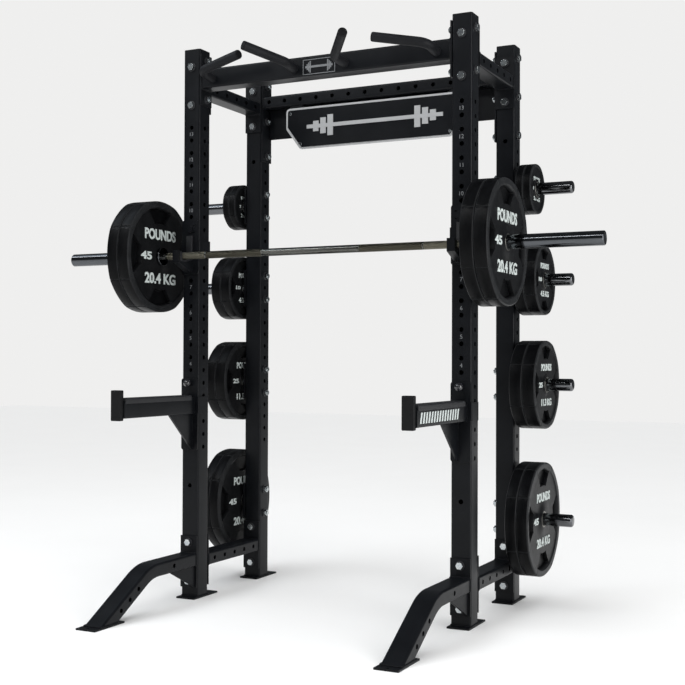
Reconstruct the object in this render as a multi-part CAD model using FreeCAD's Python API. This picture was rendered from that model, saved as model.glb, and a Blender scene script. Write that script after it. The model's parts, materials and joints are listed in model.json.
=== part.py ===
import FreeCAD, Part
import math
import os

# A half-depth power cage on two forward feet. Four square steel uprights carry a pull-up beam in front,
# a sign beam at the back and holed members along the sides. It holds two bar catches with a loaded
# barbell on them, two safety arms, and eight storage horns with pairs of weight plates.
# Frame of the part: +Z up, the floor at Z 0, the front of the cage faces -Y, X is symmetric.

V = FreeCAD.Vector
UP = V(0, 0, 1)

# frame
CAGE_W = 1143.0          # left to right, between upright centres
CAGE_D = 482.6           # front to rear, between upright centres
HEIGHT = 2180.0
TUBE = 76.2
TUBE_R = 8.0             # outside corner radius
WALL = 4.0
PITCH = 50.8             # adjustment holes
HOLE_R = 8.75
TOP_HOLE_Z = 1866.8
HOLE_COUNT = 26
LOW_HOLE_Z = 444.4       # lone hole near the foot of each front upright
REAR_HOLE_Z = 1803.3     # lone hole in the face of each rear upright
PLATE_T = 6.35           # every welded flange and base plate
CAP_T = 4.0
BASE_W = 84.0
BASE_FRONT = 67.0        # the base plate sticks out in front of the upright's centre
BASE_BACK = 103.0

# joints of the frame
BOLT_GAP = 152.4         # between the two bolts of a flange
MEMBER_H = 50.8          # side members and rear beam are flat tubes
MEMBER_PITCH = 76.2
SIDE_TOP_Z = 2032.0
SIDE_LOW_Z = 144.5
BEAM_Z = 2057.4
FLANGE_H = 203.2
REAR_FLANGE_H = 355.6
BOLT_R = 7.9
HEAD_R = 12.0
HEAD_H = 9.0
WASHER_R = 17.0
WASHER_T = 3.0
RING_T = HEAD_H + WASHER_T + 0.4   # a horn's stop ring keeps plates off the bolt heads

# front legs
LEG_REACH = 681.0        # front edge of the floor plate, in front of the upright's centre
LEG_PLATE_L = 168.0
LEG_SLOPE = 30.0
LEG_KNEE = 338.0         # the centre line turns down here, in front of the upright's centre
LEG_BEND_R = 180.0
LEG_Z = 154.0            # centre line of the level part
LEG_H = 50.8             # the legs are flat tube, as wide as the uprights

# storage
HORN_R = 24.0
HORN_TIP_X = 834.0
HORN_Z = (1612.8, 1257.2, 850.8, 329.8)
STACK_R = (100.0, 140.0, 175.0, 225.0)
STACK_T = (31.0, 47.0, 50.5, 45.0)
STACK_NAMES = ("five", "ten", "twentyfive", "fortyfive")
RING_R = 33.0
BRACKET_T = 8.0
GROOVE_GAP = 1.5         # from the plates to the groove of a horn
GROOVE_W = 2.0
GROOVE_D = 0.8
BORE_R = 25.4

# barbell
BAR_Z = 1350.0
BAR_OUT = 104.0          # in front of the upright's centre
BAR_L = 2200.0
SHAFT_R = 14.25
SPIGOT_R = 13.4
SLEEVE_R = 24.9
SHOULDER_X = 655.0
COLLAR_T = 12.0
COLLAR_R = 36.0
BAR_PLATE_R = 225.0
BAR_PLATE_T = 50.0

# catches and safety arms
CATCH_TOP = 1497.0
CATCH_LOW = 1283.0
CATCH_LIP_OUT = 144.0    # face of the lip, in front of the upright's centre
CATCH_W = 30.0
ARM_TOP = 803.0
ARM_LOW = 729.0
ARM_END = 499.0          # front end of the steel, in front of the upright's centre
ARM_W = 50.8
ARM_BACK_TOP = 869.0
ARM_BACK_LOW = 585.0
ARM_PIN_Z = 850.8
SADDLE_GAP = 0.6         # between the sliding brackets and the upright

# derived places
LENGTH = LEG_REACH + CAGE_D + BAR_PLATE_R
FRONT_Y = -LENGTH / 2 + LEG_REACH
REAR_Y = FRONT_Y + CAGE_D
MID_Y = (FRONT_Y + REAR_Y) / 2
SIDE_X = CAGE_W / 2
HALF = TUBE / 2
BAR_Y = FRONT_Y - BAR_OUT
SIDES = (("left", -1), ("right", 1))


def span(x0, x1, y0, y1, z0, z1):
    """Axis-aligned block between two limits on each axis, given in either order."""
    low = V(min(x0, x1), min(y0, y1), min(z0, z1))
    return Part.makeBox(abs(x1 - x0), abs(y1 - y0), abs(z1 - z0), low)


def rod(point, axis, radius, length):
    return Part.makeCylinder(radius, length, V(*point), V(*axis))


def cut_all(shape, cutters):
    return shape.cut(Part.makeCompound(cutters))


def group(shapes):
    return Part.makeCompound(shapes)


def fuse_all(shapes):
    return shapes[0].fuse(shapes[1:]).removeSplitter()


def square_tube(width, height, length, wall, corner):
    """Rounded rectangular tube along +Z from the origin, centred on X and Y."""
    def slab(w, h, r):
        block = Part.makeBox(w, h, length, V(-w / 2, -h / 2, 0))
        edges = [e for e in block.Edges if abs(e.tangentAt(e.FirstParameter).z) > 0.9]
        return block.makeFillet(r, edges)
    inner = max(corner - wall, 1.0)
    return slab(width, height, corner).cut(slab(width - 2 * wall, height - 2 * wall, inner))


def lay_along(shape, axis):
    """Turn a tube built along +Z so that it runs along +X or +Y."""
    turned = shape.copy()
    if axis == "x":
        turned.rotate(V(0, 0, 0), V(0, 1, 0), 90)
    else:
        turned.rotate(V(0, 0, 0), V(1, 0, 0), -90)
    return turned


def hex_prism(point, axis, radius, length):
    """Hexagonal head or nut with its across-corners radius, standing on the given point."""
    frame = FreeCAD.Placement(V(*point), FreeCAD.Rotation(UP, V(*axis)))
    corners = [V(radius * math.cos(math.radians(60 * k)), radius * math.sin(math.radians(60 * k)), 0)
               for k in range(7)]
    prism = Part.Face(Part.makePolygon(corners)).extrude(V(0, 0, length))
    prism.Placement = frame
    return prism


def profile_yz(points, x0, width):
    """Plate cut to a closed outline in the YZ plane, running from x0 for the given width."""
    corners = [V(x0, y, z) for y, z in points]
    return Part.Face(Part.makePolygon(corners + corners[:1])).extrude(V(width, 0, 0))


# --- uprights -------------------------------------------------------------------------------------

def side_bolt_heights(rear):
    """Heights of the bolts that run along X through an upright and a beam flange."""
    heights = [BEAM_Z + BOLT_GAP / 2, BEAM_Z - BOLT_GAP / 2]
    if rear:
        heights.append(BEAM_Z - 1.5 * BOLT_GAP)
    return heights


def front_bolt_heights():
    """Heights of the bolts that run along Y through an upright and the side member flanges."""
    half = BOLT_GAP / 2
    return [SIDE_TOP_Z + half, SIDE_TOP_Z - half, SIDE_LOW_Z + half, SIDE_LOW_Z - half]


def horn_bolt_heights():
    return [z + s * PITCH for z in HORN_Z for s in (-1, 1)]


def upright(x, y, rear):
    length = HEIGHT - CAP_T - PLATE_T
    tube = square_tube(TUBE, TUBE, length, WALL, TUBE_R)
    tube.translate(V(x, y, PLATE_T))
    series = [TOP_HOLE_Z - PITCH * k for k in range(HOLE_COUNT)]
    if rear:
        along_y = front_bolt_heights() + [REAR_HOLE_Z]
        along_x = [z for z in series if z < REAR_HOLE_Z - PITCH / 2]
        along_x += side_bolt_heights(True)
        along_x += [z for z in horn_bolt_heights() if min(abs(z - s) for s in series) > 1]
    else:
        along_y = front_bolt_heights() + series + [LOW_HOLE_Z]
        along_x = side_bolt_heights(False) + series
    cutters = [rod((x, y - TUBE, z), (0, 1, 0), HOLE_R, 2 * TUBE) for z in along_y]
    cutters += [rod((x - TUBE, y, z), (1, 0, 0), HOLE_R, 2 * TUBE) for z in along_x]
    return cut_all(tube, cutters)


def corners():
    return [(side * SIDE_X, y) for side in (-1, 1) for y in (FRONT_Y, REAR_Y)]


def base_plates():
    plates = []
    for x, y in corners():
        plate = span(x - BASE_W / 2, x + BASE_W / 2, y - BASE_FRONT, y + BASE_BACK, 0, PLATE_T)
        holes = [rod((x, y + BASE_BACK - 28, -1), (0, 0, 1), 6.5, PLATE_T + 2)]
        plates.append(cut_all(plate, holes))
    return group(plates)


def upright_caps():
    """Moulded caps that close the tube tops, each with a plug that reaches into the bore."""
    caps = []
    inner = TUBE - 2 * WALL - 0.6
    for x, y in corners():
        top = square_tube(TUBE, TUBE, CAP_T, 10.0, TUBE_R)
        top.translate(V(x, y, HEIGHT - CAP_T))
        lid = span(x - 30, x + 30, y - 30, y + 30, HEIGHT - CAP_T, HEIGHT)
        plug = square_tube(inner, inner, 14.0, 3.0, 4.0)
        plug.translate(V(x, y, HEIGHT - CAP_T - 14.0))
        caps.append(fuse_all([top, lid, plug]))
    return group(caps)


# --- beams and side members -----------------------------------------------------------------------

def between_uprights():
    """Free length of a beam along X, between its two flange plates."""
    return CAGE_W - TUBE - 2 * PLATE_T


def flange_x(x_face, side, y, z, height, bolts):
    """Welded end plate against the inner face of an upright, drilled for bolts along X."""
    plate = span(x_face, x_face - side * PLATE_T, y - HALF, y + HALF, z - height / 2, z + height / 2)
    holes = [rod((x_face - 20, y, bolt), (1, 0, 0), HOLE_R, 40) for bolt in bolts]
    return cut_all(plate, holes)


def flange_y(x, y_face, direction, z, height=FLANGE_H):
    """Welded end plate against the front or rear face of an upright, drilled for bolts along Y."""
    y_far = y_face + direction * PLATE_T
    plate = span(x - HALF, x + HALF, y_face, y_far, z - height / 2, z + height / 2)
    holes = [rod((x, y_face - 20, z + s * BOLT_GAP / 2), (0, 1, 0), HOLE_R, 40) for s in (-1, 1)]
    return cut_all(plate, holes)


def pull_up_beam():
    length = between_uprights()
    beam = lay_along(square_tube(TUBE, TUBE, length, WALL, TUBE_R), "x")
    beam.translate(V(-length / 2, FRONT_Y, BEAM_Z))
    return beam


def pull_up_beam_flanges():
    face = SIDE_X - HALF
    bolts = side_bolt_heights(False)
    return group([flange_x(s * face, s, FRONT_Y, BEAM_Z, FLANGE_H, bolts) for s in (-1, 1)])


GRIP_R = 17.5
GRIP_FACE_Y = FRONT_Y - HALF
GRIP_CAP_T = 4.0


def grip_points(kind):
    """Base on the beam, elbow and tip of the right-hand grip of a pair."""
    if kind == "outer":
        return V(474, GRIP_FACE_Y, 2052), V(474, GRIP_FACE_Y - 84, 2064), V(276, GRIP_FACE_Y - 125, 2099)
    return V(107, GRIP_FACE_Y, 2052), V(101, GRIP_FACE_Y - 74, 2060), V(206, GRIP_FACE_Y - 216, 2103)


def bent_rod(points, radius, bend_r, tip_short=0.0):
    """Round bar along a base-elbow-tip path with a rounded elbow, ends cut square."""
    base, elbow, tip = points
    into = (base - elbow).normalize()
    out = (tip - elbow).normalize()
    turn = math.pi - into.getAngle(out)
    setback = bend_r * math.tan(turn / 2)
    start = elbow + into * setback
    end = elbow + out * setback
    middle = (into + out).normalize()
    centre = elbow + middle * (bend_r / math.cos(turn / 2))
    arc_mid = centre - middle * bend_r
    edges = [Part.LineSegment(base, start).toShape(), Part.Arc(start, arc_mid, end).toShape(),
             Part.LineSegment(end, tip - out * tip_short).toShape()]
    circle = Part.Wire([Part.Circle(base, into, radius).toShape()])
    return Part.Wire(edges).makePipeShell([circle], True, False)


def mirror_x(shape):
    return shape.mirror(V(0, 0, 0), V(1, 0, 0))


def grips(kind):
    base, elbow, tip = grip_points(kind)
    root = base + (base - elbow).normalize() * 8
    grip = bent_rod((root, elbow, tip), GRIP_R, 42.0, GRIP_CAP_T)
    grip = grip.cut(span(base.x - 60, base.x + 60, GRIP_FACE_Y, GRIP_FACE_Y + 60, base.z - 60, base.z + 60))
    return group([mirror_x(grip), grip])


def grip_end_caps():
    caps = []
    for kind in ("outer", "inner"):
        base, elbow, tip = grip_points(kind)
        out = (tip - elbow).normalize()
        cap = Part.makeCylinder(GRIP_R - 1.0, GRIP_CAP_T, tip - out * GRIP_CAP_T, out)
        caps += [mirror_x(cap), cap]
    return group(caps)


BADGE_W = 142.0
BADGE_H = 62.0
BADGE_T = 1.5


def beam_badge():
    y = FRONT_Y - HALF
    return span(-BADGE_W / 2, BADGE_W / 2, y - BADGE_T, y, BEAM_Z - 5 - BADGE_H / 2, BEAM_Z - 5 + BADGE_H / 2)


def holed_tube(length, axis, width, first, count):
    """Flat holed tube along X or Y, MEMBER_H tall, drilled across its upright faces."""
    if axis == "x":
        tube = lay_along(square_tube(MEMBER_H, width, length, WALL, TUBE_R), "x")
    else:
        tube = lay_along(square_tube(width, MEMBER_H, length, WALL, TUBE_R), "y")
    cutters = []
    for k in range(count):
        along = first + k * MEMBER_PITCH
        if axis == "x":
            cutters.append(rod((along, -width, 0), (0, 1, 0), HOLE_R, 2 * width))
        else:
            cutters.append(rod((-width, along, 0), (1, 0, 0), HOLE_R, 2 * width))
    return cut_all(tube, cutters)


def rear_beam():
    length = between_uprights()
    count = 14
    beam = holed_tube(length, "x", TUBE, length / 2 - (count - 1) * MEMBER_PITCH / 2, count)
    beam.translate(V(-length / 2, REAR_Y, BEAM_Z))
    return beam


PANEL_LOW = 1905.0
PANEL_Y = REAR_Y + 22.0      # front face of the panel
STRAP_Y = REAR_Y - HALF + TUBE_R # front face of the straps, which the sign lies against
STRAP_T = 5.0
STRAP_W = 60.0
SIGN_T = 3.0             # of the border plate, and of the face plate on it


def rear_panel():
    """Plate welded under the rear beam, towards its back."""
    half = between_uprights() / 2
    return span(-half, half, PANEL_Y, PANEL_Y + 5, PANEL_LOW, BEAM_Z - MEMBER_H / 2)


def sign_straps():
    """Two straps welded under the front edge of the rear beam, tapped for the sign's screws."""
    straps = []
    for side in (-1, 1):
        x = side * (SIGN_HALF - 48)
        strap = span(x - STRAP_W / 2, x + STRAP_W / 2, STRAP_Y, STRAP_Y + STRAP_T, SIGN_LOW + 6, SIGN_STRAP_TOP)
        hidden = sign_layer(3.0, STRAP_Y + STRAP_T, STRAP_T)
        hidden = hidden.fuse(span(-SIGN_HALF, SIGN_HALF, STRAP_Y, STRAP_Y + STRAP_T, SIGN_TOP - 30, SIGN_STRAP_TOP))
        strap = strap.common(hidden)
        spots = [p for p in sign_screw_places() if p[0] * side > 0]
        straps.append(cut_all(strap, [rod((px, STRAP_Y - 20, pz), (0, 1, 0), 3.0, 40) for px, pz in spots]))
    return group(straps)


def rear_flanges():
    face = SIDE_X - HALF
    bolts = side_bolt_heights(True)
    centre = BEAM_Z - BOLT_GAP / 2
    return group([flange_x(s * face, s, REAR_Y, centre, REAR_FLANGE_H, bolts) for s in (-1, 1)])


SIGN_TOP = 2020.0
SIGN_LOW = 1842.0
SIGN_HALF = 412.0
SIGN_BORDER = 9.0
SIGN_STRAP_TOP = BEAM_Z - MEMBER_H / 2


def sign_outline(inset, y):
    """Outline of the sign, with chamfered bottom corners and rounded top corners."""
    half = SIGN_HALF - inset
    top = SIGN_TOP - inset
    low = SIGN_LOW + inset
    chamfer_x = 68.0 - 0.3 * inset
    chamfer_z = 90.0 - 0.3 * inset
    points = [(-half, top), (half, top), (half, low + chamfer_z), (half - chamfer_x, low),
              (-half + chamfer_x, low), (-half, low + chamfer_z)]
    return [V(x, y, z) for x, z in points]


def sign_layer(inset, y, thickness):
    corner_points = sign_outline(inset, y)
    layer = Part.Face(Part.makePolygon(corner_points + corner_points[:1])).extrude(V(0, -thickness, 0))
    through = [e for e in layer.Edges if abs(e.tangentAt(e.FirstParameter).y) > 0.9]
    return layer.makeFillet(18.0 - inset, through)


def sign_screw_places():
    return [(s * x, z) for x, z in ((SIGN_HALF - 24, SIGN_TOP - 24), (SIGN_HALF - 72, SIGN_LOW + 22))
            for s in (-1, 1)]


def sign_border():
    """Light backing plate, whose edge shows all round as a border."""
    plate = sign_layer(0.0, STRAP_Y, SIGN_T)
    return cut_all(plate, [rod((x, STRAP_Y - 20, z), (0, 1, 0), 3.5, 40) for x, z in sign_screw_places()])


def sign_plate():
    plate = sign_layer(SIGN_BORDER, STRAP_Y - SIGN_T, SIGN_T)
    return cut_all(plate, [rod((x, STRAP_Y - 20, z), (0, 1, 0), 3.5, 40) for x, z in sign_screw_places()])


def sign_screws():
    """Round-headed screws through both plates of the sign into the straps."""
    face = STRAP_Y - 2 * SIGN_T
    screws = []
    for x, z in sign_screw_places():
        head = rod((x, face, z), (0, -1, 0), 6.5, 3.0)
        shank = rod((x, face, z), (0, 1, 0), 3.0, 2 * SIGN_T + STRAP_T)
        screws.append(head.fuse(shank))
    return group(screws)


def side_member(side, z):
    length = CAGE_D - TUBE - 2 * PLATE_T
    count = 5
    tube = holed_tube(length, "y", TUBE, length / 2 - (count - 1) * MEMBER_PITCH / 2, count)
    tube.translate(V(side * SIDE_X, FRONT_Y + HALF + PLATE_T, z))
    return tube


def side_flanges():
    plates = []
    for side in (-1, 1):
        for z in (SIDE_TOP_Z, SIDE_LOW_Z):
            plates.append(flange_y(side * SIDE_X, FRONT_Y + HALF, 1, z))
            plates.append(flange_y(side * SIDE_X, REAR_Y - HALF, -1, z))
    return group(plates)


# --- front legs -----------------------------------------------------------------------------------

def leg_path(side):
    """Centre line of a leg: level from its flange, then down to the floor plate at LEG_SLOPE."""
    x = side * SIDE_X
    start = V(x, FRONT_Y - HALF - PLATE_T, LEG_Z)
    knee = V(x, FRONT_Y - LEG_KNEE, LEG_Z)
    run = LEG_Z / math.tan(math.radians(LEG_SLOPE))
    return start, knee, V(x, knee.y - run, 0)


def leg_blank(side, inset, corner):
    """Solid bar that follows the leg and runs on past the floor, as an outside or a bore."""
    wide = TUBE - 2 * inset
    high = LEG_H - 2 * inset
    start, knee, foot = leg_path(side)
    down = (foot - knee).normalize()
    setback = LEG_BEND_R * math.tan(math.radians(LEG_SLOPE / 2))
    begin = knee + V(0, setback, 0)
    end = knee + down * setback
    centre = begin + V(0, 0, -LEG_BEND_R)
    half_turn = math.radians(LEG_SLOPE / 2)
    arc_mid = centre + V(0, -LEG_BEND_R * math.sin(half_turn), LEG_BEND_R * math.cos(half_turn))
    path = Part.Wire([Part.LineSegment(start, begin).toShape(), Part.Arc(begin, arc_mid, end).toShape(),
                      Part.LineSegment(end, foot + down * 120).toShape()])
    square = Part.makeBox(wide, 1, high, V(start.x - wide / 2, start.y, start.z - high / 2))
    rounded = square.makeFillet(corner, [e for e in square.Edges
                                         if abs(e.tangentAt(e.FirstParameter).y) > 0.9])
    face = [f for f in rounded.Faces if abs(f.CenterOfMass.y - start.y) < 0.01][0]
    return path.makePipeShell([face.OuterWire], True, False)


def leg(side):
    start, knee, foot = leg_path(side)
    tube = leg_blank(side, 0.0, TUBE_R).cut(leg_blank(side, WALL, TUBE_R - WALL))
    tube = tube.cut(span(start.x - 100, start.x + 100, foot.y - 400, start.y + 10, -300, PLATE_T))
    down = (foot - knee).normalize()
    across = [V(start.x - 60, start.y - 153, start.z)]
    across += [V(start.x - 60, 0, 0) + V(0, knee.y, knee.z) + down * s for s in (98, 158, 218)]
    return cut_all(tube, [Part.makeCylinder(HOLE_R, 120, p, V(1, 0, 0)) for p in across])


def leg_flanges():
    """Each flange has a triangular gusset welded to it, which props the level part of the leg.

    Both legs are the same part, so the gusset is under the same edge of each."""
    welded = []
    for side in (-1, 1):
        x = side * SIDE_X
        face = FRONT_Y - HALF
        plate = flange_y(x, face, -1, SIDE_LOW_Z)
        start_y = face - PLATE_T
        under = LEG_Z - LEG_H / 2
        inner = x + HALF - TUBE_R
        web = profile_yz([(start_y, under), (start_y - 168, under), (start_y, under - 83)], inner - 8, 8)
        welded.append(plate.fuse(web))
    return group(welded)


def leg_floor_plates():
    plates = []
    for side in (-1, 1):
        x = side * SIDE_X
        front = FRONT_Y - LEG_REACH
        plate = span(x - BASE_W / 2, x + BASE_W / 2, front, front + LEG_PLATE_L, 0, PLATE_T)
        plates.append(cut_all(plate, [rod((x, front + 14, -1), (0, 0, 1), 5.5, PLATE_T + 2)]))
    return group(plates)


# --- fasteners ------------------------------------------------------------------------------------

def bolt_sites():
    """Head point, direction and clamped thickness of every bolt of the frame."""
    sites = []
    for side in (-1, 1):
        x = side * SIDE_X
        face = HALF
        for z in front_bolt_heights():
            low = z < 1000
            lead = PLATE_T if low else 0.0
            sites.append(((x, FRONT_Y - face - lead, z), (0, 1, 0), TUBE + PLATE_T + lead))
            sites.append(((x, REAR_Y - face - PLATE_T, z), (0, 1, 0), TUBE + PLATE_T))
        for y, rear in ((FRONT_Y, False), (REAR_Y, True)):
            for z in side_bolt_heights(rear):
                sites.append(((x + side * face, y, z), (-side, 0, 0), TUBE + PLATE_T))
        for z in horn_bolt_heights():
            sites.append(((x + side * (face + BRACKET_T), REAR_Y, z), (-side, 0, 0), TUBE + BRACKET_T))
    return sites


def along(point, axis, distance):
    return tuple(p + a * distance for p, a in zip(point, axis))


def frame_bolts():
    bolts = []
    for point, axis, grip in bolt_sites():
        under = along(point, axis, -WASHER_T)
        back = tuple(-a for a in axis)
        head = hex_prism(under, back, HEAD_R * 1.1547, HEAD_H)
        shank = rod(under, axis, BOLT_R, grip + 2 * WASHER_T + 16)
        bolts.append(head.fuse(shank))
    return group(bolts)


def frame_washers():
    washers = []
    for point, axis, grip in bolt_sites():
        for start in (along(point, axis, -WASHER_T), along(point, axis, grip)):
            ring = rod(start, axis, WASHER_R, WASHER_T)
            washers.append(ring.cut(rod(start, axis, BOLT_R + 0.2, WASHER_T)))
    return group(washers)


def frame_nuts():
    nuts = []
    for point, axis, grip in bolt_sites():
        start = along(point, axis, grip + WASHER_T)
        nuts.append(hex_prism(start, axis, HEAD_R * 1.1547, 12).cut(rod(start, axis, BOLT_R, 12)))
    return group(nuts)


# --- storage horns and their plates ---------------------------------------------------------------

def horn_brackets():
    plates = []
    for side in (-1, 1):
        x = side * (SIDE_X + HALF)
        for z in HORN_Z:
            plate = span(x, x + side * BRACKET_T, REAR_Y - HALF, REAR_Y + HALF, z - 76, z + 76)
            bolts = [rod((x - 20, REAR_Y, z + s * PITCH), (1, 0, 0), HOLE_R, 40) for s in (-1, 1)]
            plates.append(cut_all(plate, bolts))
    return group(plates)


def stack_face(k):
    """Outer face of the k-th pair of stored plates, from the middle of the cage."""
    return STACK_X + 2 * STACK_T[k]


def horn(side, k):
    """Plate peg with a stop ring at its root, a snap-ring groove outside its plates and a rounded tip."""
    z = HORN_Z[k]
    root = side * (SIDE_X + HALF + BRACKET_T)
    length = HORN_TIP_X - abs(root)
    peg = rod((0, 0, 0), (0, 0, 1), HORN_R, length)
    tip = [e for e in peg.Edges if e.Closed and abs(e.CenterOfMass.z - length) < 0.01]
    peg = peg.makeFillet(9.0, tip)
    peg = peg.fuse(rod((0, 0, 0), (0, 0, 1), RING_R, RING_T)).removeSplitter()
    groove = stack_face(k) + GROOVE_GAP - abs(root)
    collar = rod((0, 0, groove), (0, 0, 1), HORN_R + 5, GROOVE_W)
    peg = peg.cut(collar.cut(rod((0, 0, groove - 1), (0, 0, 1), HORN_R - GROOVE_D, GROOVE_W + 2)))
    peg.Placement = FreeCAD.Placement(V(root, REAR_Y, z), FreeCAD.Rotation(UP, V(side, 0, 0)))
    return peg


def horns(side):
    return group([horn(side, k) for k in range(len(HORN_Z))])


def plate_disc(radius, thickness):
    """Weight plate along +X from the origin: raised rim, recessed face and four grip pockets."""
    disc = rod((0, 0, 0), (1, 0, 0), radius, thickness)
    rim = [e for e in disc.Edges if e.Closed]
    disc = disc.makeFillet(3.0, rim)
    recess = radius - 0.12 * radius
    depth = 4.0
    cutters = [rod((-1, 0, 0), (1, 0, 0), BORE_R, thickness + 2)]
    hub = rod((-1, 0, 0), (1, 0, 0), max(0.22 * radius, 36.0), thickness + 2)
    for x0 in (-0.001, thickness - depth + 0.001):
        cutters.append(rod((x0, 0, 0), (1, 0, 0), recess, depth).cut(hub))
    if radius > 130:
        far = 0.83 * radius
        near = 0.50 * radius
        wide = 0.25 * radius
        slim = 0.13 * radius
        for k in range(4):
            for x0 in (-0.001, thickness - 14 + 0.001):
                outline = [V(x0, -wide, far), V(x0, wide, far), V(x0, slim, near), V(x0, -slim, near)]
                pocket = Part.Face(Part.makePolygon(outline + outline[:1])).extrude(V(14, 0, 0))
                pocket.rotate(V(0, 0, 0), V(1, 0, 0), 90 * k)
                cutters.append(pocket)
    return cut_all(disc, cutters)


def plate_pair(side, x_start, y, z, radius, thickness):
    """Two plates side by side, the first one starting at x_start from the middle of the cage."""
    pair = []
    for k in (0, 1):
        disc = plate_disc(radius, thickness - 0.2)
        inner = x_start + k * thickness
        disc.translate(V(inner if side > 0 else -inner - thickness + 0.2, y, z))
        pair.append(disc)
    return group(pair)


STACK_X = SIDE_X + HALF + BRACKET_T + RING_T + 0.4


# --- barbell --------------------------------------------------------------------------------------

def bar_shaft():
    """One bar: the knurled shaft, two shoulders, and a spigot inside each sleeve."""
    half = SHOULDER_X
    shaft = rod((-half, BAR_Y, BAR_Z), (1, 0, 0), SHAFT_R, 2 * half)
    reach = BAR_L / 2 - 12
    spigot = rod((-reach, BAR_Y, BAR_Z), (1, 0, 0), SPIGOT_R, 2 * reach)
    return fuse_all([shaft, spigot])


def sleeve(side):
    """Turning sleeve with its stop collar, bored blind to run on the spigot."""
    end = BAR_L / 2
    tube = rod((0, 0, 0), (0, 0, 1), SLEEVE_R, end - SHOULDER_X - 0.5)
    tip = [e for e in tube.Edges if e.Closed and e.CenterOfMass.z > 1]
    tube = tube.makeChamfer(2.5, tip)
    collar = rod((0, 0, 0), (0, 0, 1), COLLAR_R, COLLAR_T)
    collar = collar.makeFillet(2.0, [e for e in collar.Edges if e.Closed])
    body = fuse_all([tube, collar])
    body = body.cut(rod((0, 0, -1), (0, 0, 1), SPIGOT_R + 0.06, end - SHOULDER_X - 10.0))
    place = V(side * (SHOULDER_X + 0.5), BAR_Y, BAR_Z)
    body.Placement = FreeCAD.Placement(place, FreeCAD.Rotation(UP, V(side, 0, 0)))
    return body


# --- bar catches ----------------------------------------------------------------------------------

CATCH_LINER = 8.0
CUP_R = SHAFT_R + 0.5


def saddle(x, z0, z1, depth, back_z0, back_z1, tab):
    """Folded bracket: a face plate on the front of the upright and an ear down each side of it."""
    face = FRONT_Y - HALF - SADDLE_GAP
    half = HALF + SADDLE_GAP
    plate = span(x - HALF, x + HALF, face - tab, face, back_z0, back_z1)
    upright_edges = [e for e in plate.Edges if abs(e.tangentAt(e.FirstParameter).y) > 0.9]
    plate = plate.makeFillet(10.0, upright_edges)
    band = span(x - half - tab, x + half + tab, face - tab, FRONT_Y - HALF + depth, z0, z1)
    folds = [e for e in band.Edges if abs(e.tangentAt(e.FirstParameter).z) > 0.9
             and e.CenterOfMass.y < face]
    band = band.makeFillet(tab, folds)
    room = span(x - half, x + half, face, FRONT_Y + TUBE, z0 - 1, z1 + 1)
    return fuse_all([plate, band.cut(room)])


def catch_profile(face):
    """Side view of the hook: back against the face plate, floor under the bar, lip in front."""
    lip = FRONT_Y - CATCH_LIP_OUT
    floor = BAR_Z - CUP_R - CATCH_LINER
    return [(face, floor + 12), (face, CATCH_LOW + 8), (face - 22, CATCH_LOW + 8), (lip, floor - 4),
            (lip, BAR_Z + 19), (lip + 9, BAR_Z + 19), (lip + 9, floor + 4), (BAR_Y - 10, floor),
            (BAR_Y + 10, floor)]


def bar_catch(side):
    x = side * SIDE_X
    face = FRONT_Y - HALF - SADDLE_GAP - 5
    bracket = saddle(x, 1352.0, 1417.0, 72.0, CATCH_LOW, CATCH_TOP, 5.0)
    hook = profile_yz(catch_profile(face), x - CATCH_W / 2, CATCH_W)
    pegs = [rod((x, face, TOP_HOLE_Z - PITCH * k), (0, 1, 0), HOLE_R - 0.75, 32) for k in (8, 11)]
    heads = [rod((x, face, TOP_HOLE_Z - PITCH * 8), (0, -1, 0), 13.0, 7.0)]
    slot_x = x - side * 19.0
    slots = [span(slot_x - 4.5, slot_x + 4.5, face - 1, face + 5.4, z - 2.5, z + 2.5) for z in (1475.0, 1449.0)]
    return cut_all(fuse_all([bracket, hook] + pegs + heads), slots)


def catch_liner(side):
    """Plastic lining of the hook: up the face plate, along the floor and up behind the lip."""
    x = side * SIDE_X
    face = FRONT_Y - HALF - SADDLE_GAP - 5
    lip = FRONT_Y - CATCH_LIP_OUT
    floor = BAR_Z - CUP_R - CATCH_LINER
    t = CATCH_LINER
    top = BAR_Z + 84
    outline = [(face, floor + 12), (face, top), (face - t, top), (face - t, BAR_Z + 2),
               (BAR_Y + CUP_R, BAR_Z - 2), (BAR_Y + CUP_R, BAR_Z - CUP_R - 1), (BAR_Y - CUP_R, BAR_Z - CUP_R - 1),
               (BAR_Y - CUP_R, BAR_Z + 14), (lip + 9, BAR_Z + 17), (lip + 9, floor + 4), (BAR_Y - 10, floor),
               (BAR_Y + 10, floor)]
    block = profile_yz(outline, x - CATCH_W / 2 + 1, CATCH_W - 2)
    return block.cut(rod((x - 50, BAR_Y, BAR_Z), (1, 0, 0), CUP_R, 100))


# --- safety arms ----------------------------------------------------------------------------------

ARM_CAP_T = 20.0
LINER_T = 9.0
LINER_SKIRT = 20.0
LINER_SIDE = 3.0
PIN_R = 7.9
KNOB_R = 15.0


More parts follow.
